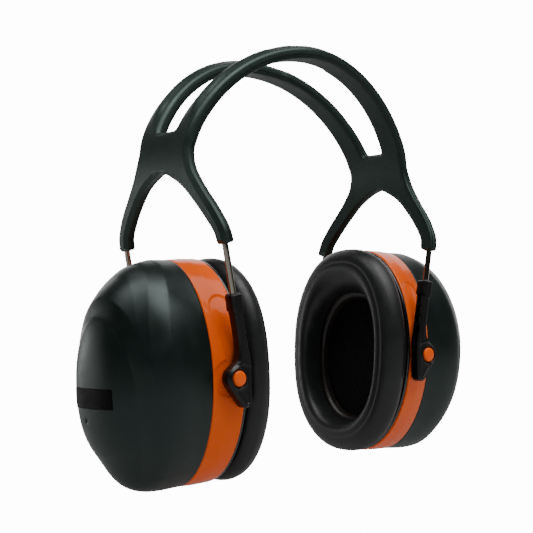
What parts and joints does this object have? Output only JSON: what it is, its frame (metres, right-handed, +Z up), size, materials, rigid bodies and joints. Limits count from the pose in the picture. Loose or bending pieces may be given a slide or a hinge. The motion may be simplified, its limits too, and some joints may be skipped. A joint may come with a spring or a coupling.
{
  "type": "hearing protection earmuffs",
  "caption": "Earmuffs with slotted forked headband, wire height sliders, tilting oval ear cups with orange trim rings and soft black ear cushions.",
  "frame": {"origin": "on the ear axis, midway between the two ear cups, where the wearer's head is", "axes": "+X towards the right cup, the longest extent; +Y towards the rear, the shortest extent; +Z up"},
  "size_m": [0.2345, 0.0888, 0.2174],
  "materials": {
    "band_plastic": "satin moulded grey-green plastic with fine texture",
    "shell_plastic": "satin moulded grey-green plastic",
    "orange_plastic": "glossy orange moulded plastic",
    "black_plastic": "semi-gloss black moulded plastic",
    "spring_steel": "bright drawn stainless spring wire",
    "leatherette": "smooth black soft PVC skin",
    "foam": "open-cell dark foam",
    "label_film": "blank satin black plate"
  },
  "bodies": {
    "headband": {"headband_cover": "band_plastic", "headband_liner": "band_plastic", "front_spring_wire": "spring_steel", "rear_spring_wire": "spring_steel"},
    "left_slider": {"left_front_arm": "black_plastic", "left_rear_arm": "black_plastic"},
    "left_cup": {"left_cup_shell": "shell_plastic", "left_label_plate": "label_film", "left_trim_ring": "orange_plastic", "left_seal_plate": "black_plastic", "left_cushion_backing": "black_plastic", "left_cushion_skin": "leatherette", "left_cushion_foam": "foam", "left_cushion_gasket": "foam", "left_foam_disc": "foam", "left_foam_block": "foam", "left_front_pivot_stud": "orange_plastic", "left_rear_pivot_stud": "orange_plastic"},
    "right_slider": {"right_front_arm": "black_plastic", "right_rear_arm": "black_plastic"},
    "right_cup": {"right_cup_shell": "shell_plastic", "right_label_plate": "label_film", "right_trim_ring": "orange_plastic", "right_seal_plate": "black_plastic", "right_cushion_backing": "black_plastic", "right_cushion_skin": "leatherette", "right_cushion_foam": "foam", "right_cushion_gasket": "foam", "right_foam_disc": "foam", "right_foam_block": "foam", "right_front_pivot_stud": "orange_plastic", "right_rear_pivot_stud": "orange_plastic"}
  },
  "joints": [
    {"name": "left_height", "type": "slide", "parent": "headband", "child": "left_slider", "axis": [0.1908, 0, -0.9816], "range_m": [-0.019, 0.009]},
    {"name": "left_tilt", "type": "hinge", "parent": "left_slider", "child": "left_cup", "pos_m": [-0.06361, 0, -0.00404], "axis": [0, 1, 0], "range_deg": [-10, 10]},
    {"name": "right_height", "type": "slide", "parent": "headband", "child": "right_slider", "axis": [-0.1908, 0, -0.9816], "range_m": [-0.012, 0.016]},
    {"name": "right_tilt", "type": "hinge", "parent": "right_slider", "child": "right_cup", "pos_m": [0.06495, 0, 0.00283], "axis": [0, 1, 0], "range_deg": [-10, 10]}
  ]
}
